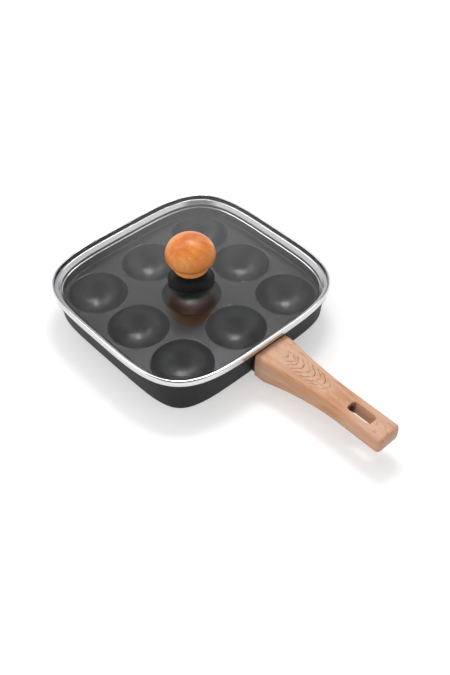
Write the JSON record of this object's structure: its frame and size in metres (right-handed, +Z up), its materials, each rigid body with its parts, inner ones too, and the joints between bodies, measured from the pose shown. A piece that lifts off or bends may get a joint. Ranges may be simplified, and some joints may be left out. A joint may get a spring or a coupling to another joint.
{
  "type": "paniyaram pan with lid",
  "caption": "Square paniyaram pan with hemispherical cups, flat glass lid with steel rim, wooden ball knob and wood-look side handle.",
  "frame": {"origin": "centre of the pan's underside, on the plane it rests on", "axes": "+X towards the handle's end, +Y across the pan, +Z up through the knob"},
  "size_m": [0.3464, 0.222, 0.0905],
  "materials": {
    "coated_aluminium": "cast aluminium under a satin dark grey non-stick coating",
    "polished_steel": "mirror-polished stainless steel strip",
    "zinc_plated_steel": "zinc-plated steel screws and washers",
    "clear_glass": "clear toughened glass",
    "varnished_wood": "orange-brown varnished wood",
    "wood_print_phenolic": "phenolic with a pale wood-grain print",
    "black_phenolic": "satin black phenolic",
    "brass": "plain brass",
    "grey_silicone": "matt grey silicone"
  },
  "bodies": {
    "pan": {"pan_body": "coated_aluminium", "boss_insert": "zinc_plated_steel", "handle": "wood_print_phenolic", "handle_screw": "zinc_plated_steel", "handle_washer": "zinc_plated_steel"},
    "lid": {"lid_rim": "polished_steel", "lid_glass": "clear_glass", "knob": "varnished_wood", "knob_base": "black_phenolic", "knob_insert": "brass", "knob_screw": "zinc_plated_steel", "knob_washer": "zinc_plated_steel", "knob_seal_upper": "grey_silicone", "knob_seal_lower": "grey_silicone"}
  },
  "joints": [
    {"name": "lid_lift", "type": "slide", "parent": "pan", "child": "lid", "axis": [0, 0, 1], "range_m": [0, 0.08]}
  ]
}
